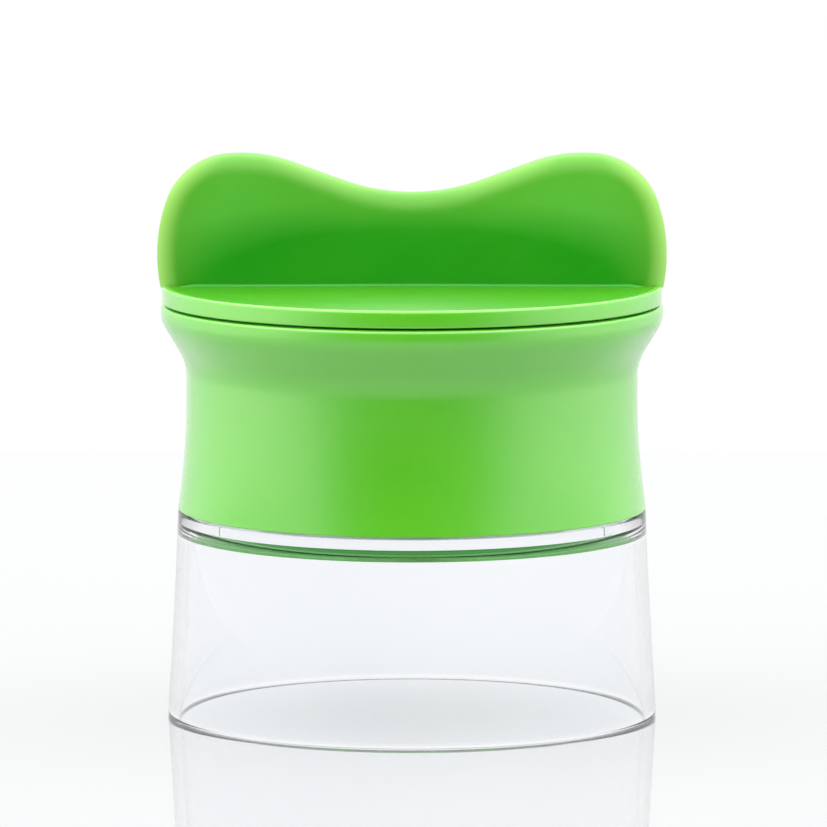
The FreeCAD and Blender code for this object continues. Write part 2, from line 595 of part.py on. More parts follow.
def prong_stem():
    """The hollow stem under the cap that carries the prongs."""
    top = CAP_LOW_Z
    stem = turned_outline([
        at(STEM_R - STEM_WALL, top), at(FLANGE_R, top), at(FLANGE_R, top - FLANGE),
        at(STEM_R + 0.8, top - FLANGE), at(STEM_R, top - FLANGE - 2), at(STEM_R - 0.6, STEM_LOW_Z + 0.6),
        at(STEM_R - 1.2, STEM_LOW_Z), at(0, STEM_LOW_Z), at(0, STEM_LOW_Z + STEM_FLOOR),
        at(STEM_R - STEM_WALL, STEM_LOW_Z + STEM_FLOOR)])
    gusset = box((STEM_R - 1, -0.6, top - FLANGE - 7), (STEM_R + 2.5, 0.6, top - FLANGE + 0.5))
    stem = join(stem, around(gusset, even(PRONG_COUNT, 30)))
    pins = [pin(x, y, PRONG_R, PRONG_TIP_Z) for x, y in prong_places()] + [pin(0, 0, SPIKE_R, SPIKE_TIP_Z)]
    return stem.cut(pins + [holder_screw_blank(-HOLDER_SCREW_X), holder_screw_blank(HOLDER_SCREW_X)])


def holder_screw_blank(x):
    """A screw that runs up through the stem's flange into the fin's core."""
    return pan_screw(x, HOLDER_HEAD_Z, HOLDER_SCREW)


def holder_screws():
    screws = []
    for x in (-HOLDER_SCREW_X, HOLDER_SCREW_X):
        cross = driver_cross(x, 0, HOLDER_HEAD_Z - 1, HOLDER_HEAD_Z + CROSS_DEPTH)
        screws.append(holder_screw_blank(x).cut(cross))
    return Part.makeCompound(screws)


def main():
    os.makedirs("parts", exist_ok=True)
    export("clear_skirt", clear_skirt())
    export("upper_body", upper_body())
    export("guide_funnel", guide_funnel())
    export("blade_disc", blade_disc())
    export("slicing_blade", slicing_blade())
    export("julienne_comb", julienne_comb())
    export("coring_tube", coring_tube())
    export("blade_screws", Part.makeCompound([blade_screw(x, y) for x, y in blade_screw_places()]))
    export("carrier_screws", carrier_screws())
    export("holder_cap", holder_cap())
    export("grip_overmould", grip_overmould())
    export("prong_stem", prong_stem())
    export("prongs", Part.makeCompound([pin(x, y, PRONG_R, PRONG_TIP_Z) for x, y in prong_places()]))
    export("centre_spike", pin(0, 0, SPIKE_R, SPIKE_TIP_Z))
    export("holder_screws", holder_screws())


main()
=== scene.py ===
"""Looks for the hand-held vegetable spiralizer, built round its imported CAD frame.

Outlines are in millimetres and turned into metres as each mesh is made. Blender works in metres.
"""

import math

import bmesh
import bpy
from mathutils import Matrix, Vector


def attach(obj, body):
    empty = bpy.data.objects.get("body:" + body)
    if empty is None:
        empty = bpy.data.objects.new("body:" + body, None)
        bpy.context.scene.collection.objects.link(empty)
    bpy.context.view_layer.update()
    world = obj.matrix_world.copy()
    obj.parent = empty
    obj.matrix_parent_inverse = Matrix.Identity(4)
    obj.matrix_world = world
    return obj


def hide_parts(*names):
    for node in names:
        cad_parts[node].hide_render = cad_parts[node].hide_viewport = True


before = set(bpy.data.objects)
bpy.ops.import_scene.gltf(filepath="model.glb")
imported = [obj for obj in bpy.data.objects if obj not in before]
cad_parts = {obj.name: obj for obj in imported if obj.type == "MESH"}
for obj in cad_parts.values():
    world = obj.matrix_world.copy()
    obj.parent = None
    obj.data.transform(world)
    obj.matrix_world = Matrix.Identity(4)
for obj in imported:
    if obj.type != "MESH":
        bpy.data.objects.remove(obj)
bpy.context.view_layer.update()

MM = 0.001

# ---------------------------------------------------------------- sizes, from the frame and the same design
SKIRT_FOOT_R = 47.5
SKIRT_MID_R = 46.42
SKIRT_MID_Z = 18.0
SKIRT_TOP_R = 45.4
SHOULDER_Z = 39.9
SKIRT_WALL = 2.3
RIM_ROUND = 0.45
SHOULDER_ROUND = 0.3
NECK_R = 42.5
NECK_BORE_R = 41.0
NECK_TOP_Z = 48.6
NECK_ROOT_ROUND = 0.1
NECK_ROUND = 0.4
BORE_ROUND = 0.12
BEVEL_LOW_Z = 35.3
BEVEL_HIGH_Z = 37.3
BEVEL_ROUND = 0.15
LUG_R = 43.7
LUG_LOW_Z = 43.4
LUG_HIGH_Z = 45.4
LUG_DEG = 10.0
LUG_ANGLES = (60.0, 180.0, 300.0)
COLLAR_RIB_R = 40.55
COLLAR_RIB_DEG = 2.2
COLLAR_RIB_ANGLES = (90.0, 210.0, 330.0)
COLLAR_RIB_LOW_Z = BEVEL_HIGH_Z + 0.15
COLLAR_RIB_HIGH_Z = SHOULDER_Z - 0.2
TWIST_DEG = 28.0
TRACK_PLAY = 0.3
TRACK_R = LUG_R + TRACK_PLAY
TRACK_LOW_Z = LUG_LOW_Z - TRACK_PLAY
TRACK_HIGH_Z = LUG_HIGH_Z + TRACK_PLAY

BODY_FOOT_Z = 40.2
BODY_FOOT_R = 45.4
BODY_FOOT_ROUND = 0.2
WAIST_R = 43.75
WAIST_LOW_Z = 62.0
WAIST_HIGH_Z = 66.0
FLARE_R = 10.0
FLARE_DEG = 31.0
LIP_ARC_R = 5.0
LIP_R = 48.65
LIP_TOP_Z = 79.95
LIP_ROUND = 0.8
LIP_IN_ROUND = 0.3
BODY_WALL = 2.5
LINING_INSET = 0.1
SOCKET_R = NECK_R + 0.25
SOCKET_TOP_Z = 49.0
LEDGE_R = 44.2
LEDGE_LOW_Z = 75.8
LEDGE_TOP_Z = 77.3
LEDGE_ROUND = 0.2

CAP_R = 48.4
CAP_LOW_Z = 80.35
CAP_TOP_Z = 83.7
CAP_ROUND = 0.6
CAP_LOW_ROUND = 0.3
TOP_PAD_R = 47.5
TOP_PAD_Z = 82.4
TOP_PAD_ROUND = 0.15
RECESS_ROUND = 0.12
SEAT_Z = 79.6
SEAT_R = 44.4
SEAT_BORE_R = 42.2
SEAT_ROUND = 0.2
PLUG_R = 40.3
PLUG_WALL = 1.7
PLUG_LOW_Z = 73.6
PLUG_IN_ROUND = 0.3
PLUG_OUT_ROUND = 0.5
CAP_RIBS = 8
CAP_RIB_FROM_R = 21.0
CAP_RIB_HALF = 0.6
CAP_RIB_DEPTH = 2.2

FIN_VALLEY_Z = 101.65
VALLEY_R = 39.5
VALLEY_DEG = 19.7
SLOPE = 10.25
CREST_R = 29.9
CREST_DEG = 25.4
SHOULDER_R = 13.65
SHOULDER_DEG = 64.7
FLANK_R = 31.1
LOBE_X = 33.1
FIN_HALF_MIDDLE = 4.1
FIN_HALF_LOBE = 5.2
FIN_ROUND = 3.9
FIN_ROUND_DEEP = 2.9
FIN_CROWN = 1.0
CROWN_WIDTH = 12.0
FIN_ROOT_Z = CAP_TOP_Z - 0.5
FIN_FOOT_ROUND = 0.7
FIN_FOOT_FADE = 3.0
FOOT_X = 45.0

# ---------------------------------------------------------------- how finely the meshes are cut
ROUND_STEPS = 720
FILLET_STEPS = 6
EDGE_STEP = 0.05
SHARP_DEG = 35
SKIRT_ROWS_OUT = 28
SKIRT_ROWS_IN = 24
BODY_ROWS_OUT = 62
BODY_ROWS_IN = 30
FIN_RINGS = 14
FACE_COLUMNS = 75
FACE_X = 44.0
FACE_ROWS = 22
FACE_TOP_Z = 104.5
FOOT_COLUMNS = 120

# ---------------------------------------------------------------- where a paler sheen is painted on the grip's lobes
PAINTED_SHEEN_WIDE = 50.0
PAINTED_SHEEN_HIGH = 14.0

# ---------------------------------------------------------------- stage, in metres
CAMERA_BACK = 1.7693
CAMERA_UP = 0.2715
CAMERA_ACROSS = 0.0003
CAMERA_PITCH_DEG = 6.8655
LENS_MM = 399.95
TABLE_HALF_X = 0.3
TABLE_HALF_Y = 0.409
TABLE_GAP = 0.0002

# brightness of the studio's panels, by azimuth from the front in degrees
PANELS = [(-180, 1.05), (-172, 1.02), (-150, 0.95), (-125, 1.3), (-105, 1.6), (-84, 1.8), (-62, 1.6),
          (-46, 0.9), (-31, 0.3), (-12, 0.08), (14, 0.1), (30, 0.25), (46, 0.8), (62, 1.35), (84, 1.55),
          (105, 1.5), (125, 1.25), (150, 0.95), (172, 1.02), (180, 1.05)]
# by the height of a direction, from -1 for straight down to 1 for straight up:
# strength of the panels, light from overhead, and the most that a panel may be, so that
# seen in the table none outshines the white background
PANEL_FADE = [(-1, 1.1), (-0.4, 1.7), (-0.28, 1.0), (0.4, 1.0), (0.6, 0.5)]
OVERHEAD = [(0.3, 0), (0.55, 1.5), (0.8, 2.5)]
GLARE_LIMIT = [(0, 3), (0.03, 1.1), (0.2, 1.1), (0.35, 3)]
WARM_FROM = 1.2
WARMTH = 1.1


# ---------------------------------------------------------------- outlines
def rounded(corners):
    """A closed outline through corners (r, z, fillet radius), with each fillet drawn as an arc."""
    outline = []
    for k, (r, z, fillet) in enumerate(corners):
        here = Vector((r, z))
        if not fillet:
            outline.append(here)
            continue
        back = (Vector(corners[k - 1][:2]) - here).normalized()
        ahead = (Vector(corners[(k + 1) % len(corners)][:2]) - here).normalized()
        half = back.angle(ahead) / 2
        centre = here + (back + ahead).normalized() * fillet / math.sin(half)
        start = here + back * fillet / math.tan(half) - centre
        end = here + ahead * fillet / math.tan(half) - centre
        for step in range(FILLET_STEPS + 1):
            outline.append(centre + fillet * start.slerp(end, step / FILLET_STEPS).normalized())
    return outline


def spread(low, high, count):
    """count values from low to high, both included."""
    return [low + (high - low) * k / (count - 1) for k in range(count)]


def skirt_radius(z):
    """Outer radius of the skirt: a shallow curve through its foot, middle and shoulder."""
    foot = SKIRT_FOOT_R * (z - SKIRT_MID_Z) * (z - SHOULDER_Z) / (SKIRT_MID_Z * SHOULDER_Z)
    middle = SKIRT_MID_R * z * (z - SHOULDER_Z) / (SKIRT_MID_Z * (SKIRT_MID_Z - SHOULDER_Z))
    top = SKIRT_TOP_R * z * (z - SKIRT_MID_Z) / (SHOULDER_Z * (SHOULDER_Z - SKIRT_MID_Z))
    return foot + middle + top


def body_radius(z):
    """Outer radius of the body: a long lower flare, a waist, a tight upper flare, a slope and the lip."""
    rise = WAIST_LOW_Z - BODY_FOOT_Z
    grow = BODY_FOOT_R - WAIST_R
    lower_r = (rise**2 + grow**2) / (2 * grow)
    lean = math.radians(FLARE_DEG)
    flare_end_z = WAIST_HIGH_Z + FLARE_R * math.sin(lean)
    flare_end_r = WAIST_R + FLARE_R * (1 - math.cos(lean))
    slope_end_r = LIP_R - LIP_ARC_R * (1 - math.cos(lean))
    slope_end_z = flare_end_z + (slope_end_r - flare_end_r) / math.tan(lean)
    lip_z = slope_end_z + LIP_ARC_R * math.sin(lean)
    if z < WAIST_LOW_Z:
        return WAIST_R + lower_r - math.sqrt(lower_r**2 - (WAIST_LOW_Z - z)**2)
    if z < WAIST_HIGH_Z:
        return WAIST_R
    if z < flare_end_z:
        return WAIST_R + FLARE_R - math.sqrt(FLARE_R**2 - (z - WAIST_HIGH_Z)**2)
    if z < slope_end_z:
        return flare_end_r + (z - flare_end_z) * math.tan(lean)
    if z < lip_z:
        return LIP_R - LIP_ARC_R + math.sqrt(LIP_ARC_R**2 - (lip_z - z)**2)
    return LIP_R


def edge_rows(low, high):
    """Heights of the rows of points that make the ends of something from low to high sharp."""
    return [low - EDGE_STEP, low, high, high + EDGE_STEP]


def near(degrees, middles, width):
    """True if an angle lies within width of one of the middles."""
    return any(abs((degrees - middle + 180) % 360 - 180) <= width / 2 for middle in middles)


# ---------------------------------------------------------------- meshes
def piece_from(bm, name, body):
    """An object from a bmesh in millimetres, smooth except at its sharp edges, that rides on a body."""
    bmesh.ops.remove_doubles(bm, verts=bm.verts, dist=1e-5)
    bmesh.ops.delete(bm, geom=[edge for edge in bm.edges if edge.is_wire], context="EDGES")
    bmesh.ops.recalc_face_normals(bm, faces=bm.faces)
    bmesh.ops.scale(bm, vec=(MM, MM, MM), verts=bm.verts)
    mesh = bpy.data.meshes.new(name)
    bm.to_mesh(mesh)
    bm.free()
    for polygon in mesh.polygons:
        polygon.use_smooth = True
    mesh.set_sharp_from_angle(angle=math.radians(SHARP_DEG))
    piece = bpy.data.objects.new(name, mesh)
    bpy.context.scene.collection.objects.link(piece)
    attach(piece, body)
    return piece


def add_lathe(bm, outline, swell=None):
    """Turns a closed outline round Z. swell(r, z, degrees) gives a point its radius at an angle."""
    rings = []
    for step in range(ROUND_STEPS):
        degrees = 360 * step / ROUND_STEPS
        turn = math.radians(degrees)
        ring = []
        for point in outline:
            r = swell(point[0], point[1], degrees) if swell else point[0]
            ring.append(bm.verts.new((r * math.cos(turn), r * math.sin(turn), point[1])))
        rings.append(ring)
    for ring, after in zip(rings, rings[1:] + rings[:1]):
        for k in range(len(outline)):
            following = (k + 1) % len(outline)
            bm.faces.new((ring[k], after[k], after[following], ring[following]))


def add_box(bm, low, high, turn_deg):
    """A box with corners low and high, turned about Z."""
    turn = math.radians(turn_deg)
    corners = []
    for x in (low[0], high[0]):
        for y in (low[1], high[1]):
            for z in (low[2], high[2]):
                across = x * math.cos(turn) - y * math.sin(turn)
                along = x * math.sin(turn) + y * math.cos(turn)
                corners.append(bm.verts.new((across, along, z)))
    for face in ((0, 1, 3, 2), (4, 6, 7, 5), (0, 4, 5, 1), (2, 3, 7, 6), (0, 2, 6, 4), (1, 5, 7, 3)):
        bm.faces.new([corners[k] for k in face])


# ---------------------------------------------------------------- clear skirt
def skirt_swell(r, z, degrees):
    """Lugs on the outside of the neck, and short ribs in its bore."""
    if abs(r - NECK_R) < 0.01 and LUG_LOW_Z <= z <= LUG_HIGH_Z and near(degrees, LUG_ANGLES, LUG_DEG):
        return LUG_R
    in_rib = COLLAR_RIB_LOW_Z - 0.01 < z < COLLAR_RIB_HIGH_Z + 0.01
    if abs(r - NECK_BORE_R) < 0.01 and in_rib and near(degrees, COLLAR_RIB_ANGLES, COLLAR_RIB_DEG):
        return COLLAR_RIB_R
    return r


def make_skirt():
    """Clear sleeve, open at both ends: a curved flare, a shoulder and the neck."""
    wall_in = skirt_radius(BEVEL_LOW_Z) - SKIRT_WALL
    corners = [(SKIRT_FOOT_R, 0, RIM_ROUND)]
    corners += [(skirt_radius(z), z, 0) for z in spread(1, SHOULDER_Z - 1, SKIRT_ROWS_OUT)]
    corners += [(SKIRT_TOP_R, SHOULDER_Z, SHOULDER_ROUND), (NECK_R, SHOULDER_Z, NECK_ROOT_ROUND)]
    corners += [(NECK_R, z, 0) for z in edge_rows(LUG_LOW_Z, LUG_HIGH_Z)]
    corners += [(NECK_R, NECK_TOP_Z, NECK_ROUND), (NECK_BORE_R, NECK_TOP_Z, BORE_ROUND)]
    corners += [(NECK_BORE_R, z, 0) for z in reversed(edge_rows(COLLAR_RIB_LOW_Z, COLLAR_RIB_HIGH_Z))]
    corners += [(NECK_BORE_R, BEVEL_HIGH_Z, 0), (wall_in, BEVEL_LOW_Z, BEVEL_ROUND)]
    wall_z = reversed(spread(1, BEVEL_LOW_Z - 1, SKIRT_ROWS_IN))
    corners += [(skirt_radius(z) - SKIRT_WALL, z, 0) for z in wall_z]
    corners += [(skirt_radius(0) - SKIRT_WALL, 0, RIM_ROUND)]
    bm = bmesh.new()
    add_lathe(bm, rounded(corners), swell=skirt_swell)
    skirt = piece_from(bm, "skirt_moulding", "skirt")
    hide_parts("clear_skirt")
    return skirt


# ---------------------------------------------------------------- body
def body_swell(r, z, degrees):
    """Tracks for the lugs inside the socket, each with an entry from below."""
    if abs(r - SOCKET_R) > 0.01 or z > TRACK_HIGH_Z:
        return r
    width = LUG_DEG + 1
    in_entry = near(degrees, [angle - TWIST_DEG for angle in LUG_ANGLES], width)
    in_track = near(degrees, [angle - TWIST_DEG / 2 for angle in LUG_ANGLES], TWIST_DEG + width)
    return TRACK_R if in_entry or in_track and z >= TRACK_LOW_Z else r


def make_body():
    """Waisted green body: hollow, with a ledge inside its lip and a socket for the skirt's neck."""
    outer_z = spread(BODY_FOOT_Z + 0.6, LIP_TOP_Z - LIP_ROUND - 0.4, BODY_ROWS_OUT)
    inner_z = spread(SOCKET_TOP_Z + 0.6, LEDGE_LOW_Z - 0.8, BODY_ROWS_IN)
    lip_in = LIP_R - BODY_WALL
    corners = [(BODY_FOOT_R, BODY_FOOT_Z, BODY_FOOT_ROUND)]
    corners += [(body_radius(z), z, 0) for z in outer_z]
    corners += [(LIP_R, LIP_TOP_Z, LIP_ROUND), (lip_in, LIP_TOP_Z, LIP_IN_ROUND)]
    corners += [(lip_in, LEDGE_TOP_Z, 0), (LEDGE_R, LEDGE_TOP_Z, LEDGE_ROUND), (LEDGE_R, LEDGE_LOW_Z, 0)]
    corners += [(body_radius(z) - BODY_WALL - LINING_INSET, z, 0) for z in reversed(inner_z)]
    corners += [(body_radius(SOCKET_TOP_Z) - BODY_WALL, SOCKET_TOP_Z, 0), (SOCKET_R, SOCKET_TOP_Z, 0)]
    corners += [(SOCKET_R, z, 0) for z in reversed(edge_rows(TRACK_LOW_Z, TRACK_HIGH_Z))]
    corners += [(SOCKET_R, BODY_FOOT_Z, 0)]
    bm = bmesh.new()
    add_lathe(bm, rounded(corners), swell=body_swell)
    body = piece_from(bm, "body_moulding", "cutter")
    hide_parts("upper_body")
    return body


# ---------------------------------------------------------------- food holder
def make_cap():
    """Rimmed plate with a plug ring, a seat ring and stiffening ribs under it."""
    plug_in = PLUG_R - PLUG_WALL
    corners = [(0, CAP_LOW_Z, 0), (plug_in, CAP_LOW_Z, 0), (plug_in, PLUG_LOW_Z, PLUG_IN_ROUND)]
    corners += [(PLUG_R, PLUG_LOW_Z, PLUG_OUT_ROUND), (PLUG_R, CAP_LOW_Z, 0)]
    corners += [(SEAT_BORE_R, CAP_LOW_Z, 0), (SEAT_BORE_R, SEAT_Z, SEAT_ROUND)]
    corners += [(SEAT_R, SEAT_Z, SEAT_ROUND), (SEAT_R, CAP_LOW_Z, 0)]
    corners += [(CAP_R, CAP_LOW_Z, CAP_LOW_ROUND), (CAP_R, CAP_TOP_Z, CAP_ROUND)]
    corners += [(TOP_PAD_R, CAP_TOP_Z, RECESS_ROUND), (TOP_PAD_R, TOP_PAD_Z, 0), (0, TOP_PAD_Z, 0)]
    bm = bmesh.new()
    add_lathe(bm, rounded(corners))
    rib_low = (CAP_RIB_FROM_R, -CAP_RIB_HALF, CAP_LOW_Z - CAP_RIB_DEPTH)
    rib_high = (PLUG_R - 1, CAP_RIB_HALF, CAP_LOW_Z + 0.5)
    for k in range(CAP_RIBS):
        add_box(bm, rib_low, rib_high, 360 / CAP_RIBS * (k + 0.5))
    cap = piece_from(bm, "cap_moulding", "food_holder")
    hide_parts("holder_cap")
    return cap


def tangent_arc(start, heading, radius, turn, steps):
    """Points of an arc that leaves start along heading, angles in radians: (points, end, new heading)."""
    side = heading + math.copysign(math.pi / 2, turn)
    centre = start + radius * Vector((math.cos(side), math.sin(side)))
    points = []
    for step in range(1, steps + 1):
        angle = side + math.pi + turn * step / steps
        points.append(centre + radius * Vector((math.cos(angle), math.sin(angle))))
    return points, points[-1], heading + turn


def fin_outline(inset, foot_z):
    """Front outline of the fin, from its right foot over both lobes to its left foot, moved in by inset."""
    start = Vector((0, FIN_VALLEY_Z - inset))
    valley, end, heading = tangent_arc(start, 0, VALLEY_R + inset, math.radians(VALLEY_DEG), 14)
    ahead = Vector((math.cos(heading), math.sin(heading)))
    slope = [end + ahead * SLOPE * k / 8 for k in range(1, 9)]
    crest, end, heading = tangent_arc(slope[-1], heading, CREST_R - inset, -math.radians(CREST_DEG), 14)
    shoulder, end, heading = tangent_arc(end, heading, SHOULDER_R - inset, -math.radians(SHOULDER_DEG), 24)
    flank_r = FLANK_R - inset
    centre_z = end.y - flank_r * math.sin(heading + math.pi / 2)
    turn = math.asin((foot_z - centre_z) / flank_r) - (heading + math.pi / 2)
    flank, end, heading = tangent_arc(end, heading, flank_r, turn, 20)
    right = [start] + valley + slope + crest + shoulder + flank
    left = [Vector((-point.x, point.y)) for point in right[1:]]
    return list(reversed(right)) + left


def fin_half(x):
    """Half thickness of the fin: thinnest at the middle of its span, thickest at the lobes."""
    swell = (1 - math.cos(math.pi * x / LOBE_X)) / 2
    return FIN_HALF_MIDDLE + (FIN_HALF_LOBE - FIN_HALF_MIDDLE) * swell


def crown(depth):
    """How far a face has fallen away at some depth inside the outline."""
    return FIN_CROWN * max(0, 1 - depth / CROWN_WIDTH)**2


def face_depth(x, z, outline):
    """Distance from a point of a face to the fin's outline."""
    return min(math.hypot(x - a, z - b) for a, b in outline)


def shaped_face(bm, ring, side):
    """One broad face of the fin, cut into a fine grid and crowned towards its outline."""
    outline = fin_outline(0, FIN_ROOT_Z)
    face = bm.faces.new(ring)
    geometry = [face] + list(face.edges) + list(face.verts)
    cuts = [((x, 0, 0), (1, 0, 0)) for x in spread(-FACE_X, FACE_X, FACE_COLUMNS)]
    cuts += [((0, 0, z), (0, 0, 1)) for z in spread(CAP_TOP_Z + 0.5, FACE_TOP_Z, FACE_ROWS)]
    for place, direction in cuts:
        cut = bmesh.ops.bisect_plane(bm, geom=geometry, plane_co=place, plane_no=direction, dist=1e-5)
        geometry = cut["geom"]
    for vert in geometry:
        if isinstance(vert, bmesh.types.BMVert):
            depth = face_depth(vert.co.x, vert.co.z, outline)
            vert.co.y = side * (fin_half(vert.co.x) - crown(depth))


def add_fin(bm):
    """The fin: rings that round its outline over, two crowned faces and a flat edge between them."""
    profile = []
    for step in range(FIN_RINGS + 1):
        angle = math.pi / 2 * step / FIN_RINGS
        inset = FIN_ROUND * (1 - math.cos(angle))
        profile.append((inset, FIN_ROUND_DEEP * (1 - math.sin(angle)) + crown(inset)))
    profile.append((FIN_ROUND + 0.5, crown(FIN_ROUND + 0.5)))
    edges = []
    for side in (-1, 1):
        rings = []
        for inset, fall in profile:
            outline = fin_outline(inset, FIN_ROOT_Z)
            rings.append([bm.verts.new((x, side * (fin_half(x) - fall), z)) for x, z in outline])
        for outer, inner in zip(rings, rings[1:]):
            for k in range(len(outer) - 1):
                bm.faces.new((outer[k], outer[k + 1], inner[k + 1], inner[k]))
        shaped_face(bm, rings[-1], side)
        edges.append(rings[0])
    front, back = edges
    for k in range(len(front) - 1):
        bm.faces.new((front[k], front[k + 1], back[k + 1], back[k]))
    bottom = [edge for edge in bm.edges if edge.is_boundary]
    bmesh.ops.contextual_create(bm, geom=bottom)


def add_foot_fillet(bm, side):
    """A hollow fillet along the foot of one face, fading out at both ends."""
    columns = []
    for x in spread(-FOOT_X, FOOT_X, FOOT_COLUMNS):
        radius = FIN_FOOT_ROUND * min(1, (FOOT_X - abs(x)) / FIN_FOOT_FADE + 0.02)
        wall = fin_half(x)
        column = [bm.verts.new((x, side * (wall - 0.2), CAP_TOP_Z - 0.1))]
        column.append(bm.verts.new((x, side * (wall - 0.2), CAP_TOP_Z + radius)))
        for step in range(FILLET_STEPS + 1):
            angle = math.pi / 2 * step / FILLET_STEPS
            y = wall + radius * (1 - math.cos(angle))
            column.append(bm.verts.new((x, side * y, CAP_TOP_Z + radius * (1 - math.sin(angle)))))
        column.append(bm.verts.new((x, side * (wall + radius), CAP_TOP_Z - 0.1)))
        columns.append(column)
    for column, after in zip(columns, columns[1:]):
        for k in range(len(column)):
            following = (k + 1) % len(column)
            bm.faces.new((column[k], after[k], after[following], column[following]))
    for column in (columns[0], columns[-1]):
        bm.faces.new(column)


def make_grip():
    """The soft skin: a top pad set into the cap's rim, and the two-lobed fin that stands on it."""
    bm = bmesh.new()
    add_fin(bm)
    for side in (-1, 1):
        add_foot_fillet(bm, side)
    pad = [(0, TOP_PAD_Z, 0), (TOP_PAD_R, TOP_PAD_Z, 0), (TOP_PAD_R, CAP_TOP_Z, TOP_PAD_ROUND)]
    add_lathe(bm, rounded(pad + [(0, CAP_TOP_Z, 0)]))
    grip = piece_from(bm, "grip_skin", "food_holder")
    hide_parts("grip_overmould")
    return grip


# ---------------------------------------------------------------- material helpers
def colour(hex_code):
    """Linear RGBA of an sRGB hex colour."""
    values = [int(hex_code[k:k + 2], 16) / 255 for k in (1, 3, 5)]
    return [v / 12.92 if v < 0.04045 else ((v + 0.055) / 1.055)**2.4 for v in values] + [1]


def new_material(name):
    """(material, node tree, its Principled shader)"""
    material = bpy.data.materials.new(name)
    material.use_nodes = True
    return material, material.node_tree, material.node_tree.nodes["Principled BSDF"]


def settle(shader, **values):
    """Sets sockets, named with _ for spaces, to values that are the same all over a surface."""
    for key, value in values.items():
        shader.inputs[key.replace("_", " ")].default_value = value


def add_node(tree, kind, **values):
    """A node with inputs, named by their sockets with _ for spaces, or its own settings, set to values."""
    node = tree.nodes.new("ShaderNode" + kind)
    for key, value in values.items():
        socket = node.inputs.get(key.replace("_", " "))
        if socket is None:
            setattr(node, key, value)
        else:
            socket.default_value = value
    return node


def joined(tree, operation, first, second):
    """Two values put through a Math node: its Value socket."""
    node = add_node(tree, "Math", operation=operation)
    tree.links.new(first, node.inputs[0])
    tree.links.new(second, node.inputs[1])
    return node.outputs["Value"]


def object_noise(tree, scale, detail, stretch=(1, 1, 1)):
    """Noise over object coordinates: its Fac socket."""
    place = add_node(tree, "TexCoord")
    mapping = add_node(tree, "Mapping", Scale=stretch)
    noise = add_node(tree, "TexNoise", Scale=scale, Detail=detail)
    tree.links.new(place.outputs["Object"], mapping.inputs["Vector"])
    tree.links.new(mapping.outputs["Vector"], noise.inputs["Vector"])
    return noise.outputs["Fac"]


def reach(tree, weights, middle=(0, 0, 0)):
    """Distance from a middle over object coordinates, each axis weighted: its Value socket."""
    place = add_node(tree, "TexCoord")
    away = add_node(tree, "VectorMath", operation="SUBTRACT")
    weighted = add_node(tree, "VectorMath", operation="MULTIPLY")
    length = add_node(tree, "VectorMath", operation="LENGTH")
    away.inputs[1].default_value = middle
    weighted.inputs[1].default_value = weights
    tree.links.new(place.outputs["Object"], away.inputs[0])
    tree.links.new(away.outputs["Vector"], weighted.inputs[0])
    tree.links.new(weighted.outputs["Vector"], length.inputs[0])
    return length.outputs["Value"]


def facing(tree, axis):
    """How squarely a surface faces along an axis of the object, either way, from 0 to 1: its Value socket."""
    geometry = add_node(tree, "NewGeometry")
    turned = add_node(tree, "VectorTransform", vector_type="NORMAL")
    turned.convert_from = "WORLD"
    turned.convert_to = "OBJECT"
    parts = add_node(tree, "SeparateXYZ")
    size = add_node(tree, "Math", operation="ABSOLUTE")
    tree.links.new(geometry.outputs["Normal"], turned.inputs["Vector"])
    tree.links.new(turned.outputs["Vector"], parts.inputs["Vector"])
    tree.links.new(parts.outputs[axis], size.inputs[0])
    return size.outputs["Value"]


def ramp(tree, fac, stops):
    """A colour ramp over fac: its Color socket. stops are (place, colour)."""
    node = add_node(tree, "ValToRGB")
    elements = node.color_ramp.elements
    while len(elements) > 1:
        elements.remove(elements[0])
    elements[0].position, elements[0].color = stops[0]
    for place, value in stops[1:]:
        elements.new(place).color = value
    tree.links.new(fac, node.inputs["Fac"])
    return node.outputs["Color"]


def greys(tree, fac, stops):
    """A ramp of greys over fac: its Color socket. stops are (place, level)."""
    return ramp(tree, fac, [(place, (level, level, level, 1)) for place, level in stops])


def drift(tree, fac, low, high, places=(0.35, 0.65)):
    """A slow change over fac from one hex colour to another: its Color socket."""
    return ramp(tree, fac, [(places[0], colour(low)), (places[1], colour(high))])


def span(tree, fac, low, high, from_low=0.3, from_high=0.7):
    """Maps a range, unless given that of a noise, to low..high and no further: its Result socket."""
    node = add_node(tree, "MapRange", From_Min=from_low, From_Max=from_high, To_Min=low, To_Max=high)
    tree.links.new(fac, node.inputs["Value"])
    return node.outputs["Result"]


def below(tree, fac, full, none):
    """1 where fac is under full and 0 where it is over none, both in millimetres: its Result socket."""
    return span(tree, fac, 1, 0, full * MM, none * MM)


def blended(tree, first, second, fac=None, kind="MIX"):
    """Two colours put together, all the way or as far as fac says: the colour socket of a Mix node."""
    node = add_node(tree, "Mix", data_type="RGBA", blend_type=kind)
    node.inputs[0].default_value = 1
    if fac:
        tree.links.new(fac, node.inputs[0])
    tree.links.new(first, node.inputs[6])
    tree.links.new(second, node.inputs[7])
    return node.outputs[2]


def bump(tree, shader, height, strength, distance):
    """Fine relief, its distance in metres."""
    node = add_node(tree, "Bump", Strength=strength, Distance=distance)
    tree.links.new(height, node.inputs["Height"])
    tree.links.new(node.outputs["Normal"], shader.inputs["Normal"])


